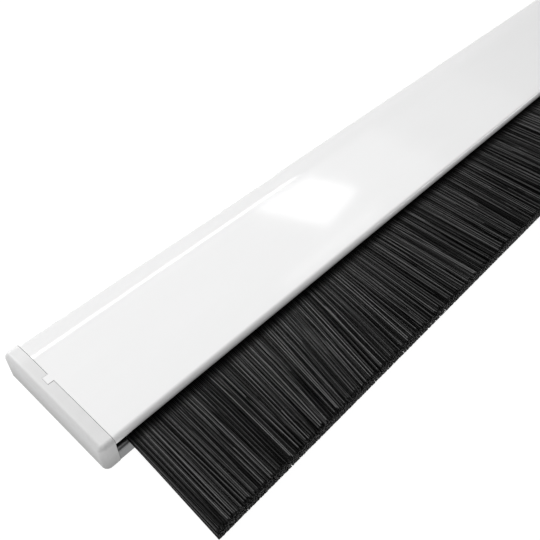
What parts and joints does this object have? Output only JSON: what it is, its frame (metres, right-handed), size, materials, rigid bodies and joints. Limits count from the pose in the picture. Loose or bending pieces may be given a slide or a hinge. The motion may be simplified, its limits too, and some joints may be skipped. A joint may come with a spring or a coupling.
{
  "type": "door sweep",
  "caption": "Long flat door sweep: aluminium carrier rail, clip-on white cover, sliding black strip brush along the lower edge, moulded end caps.",
  "frame": {"origin": "middle of the rail's flat back face, which lies against the door", "axes": "+X along the door, +Y from the bristles to the cover's upper edge, +Z out of the cover's face, away from the door"},
  "size_m": [0.9202, 0.0531, 0.0065],
  "materials": {
    "rail_aluminium": "mill-finish extrusion with fine die lines along its length",
    "cover_white": "gloss white extruded rigid plastic",
    "channel_steel": "bright galvanised folded strip",
    "wire_steel": "drawn galvanised wire",
    "bristle_black": "black crimp-free synthetic filament with a soft shine along each strand",
    "cap_white": "satin off-white moulding with soft edges"
  },
  "bodies": {
    "rail": {"carrier_rail": "rail_aluminium"},
    "cover": {"cover_profile": "cover_white"},
    "brush_strip": {"brush_channel": "channel_steel", "core_wire": "wire_steel", "bristle_roots": "bristle_black"},
    "free_bristles": {"bristles": "bristle_black"},
    "near_cap": {"near_end_cap": "cap_white"},
    "far_cap": {"far_end_cap": "cap_white"}
  },
  "joints": [
    {"name": "bristle_flex", "type": "hinge", "parent": "brush_strip", "child": "free_bristles", "pos_m": [0, -0.0155, 0.0037], "axis": [1, 0, 0], "range_deg": [-30, 30], "stiffness_Nm_per_rad": 1},
    {"name": "brush_strip_play", "type": "slide", "parent": "rail", "child": "brush_strip", "axis": [1, 0, 0], "range_m": [-0.0018, 0.0018]},
    {"name": "cover_unclip", "type": "slide", "parent": "rail", "child": "cover", "axis": [0, 0, 1], "range_m": [0, 0.012]},
    {"name": "near_cap_pull", "type": "slide", "parent": "rail", "child": "near_cap", "axis": [-1, 0, 0], "range_m": [0, 0.012]},
    {"name": "far_cap_pull", "type": "slide", "parent": "rail", "child": "far_cap", "axis": [1, 0, 0], "range_m": [0, 0.012]}
  ]
}
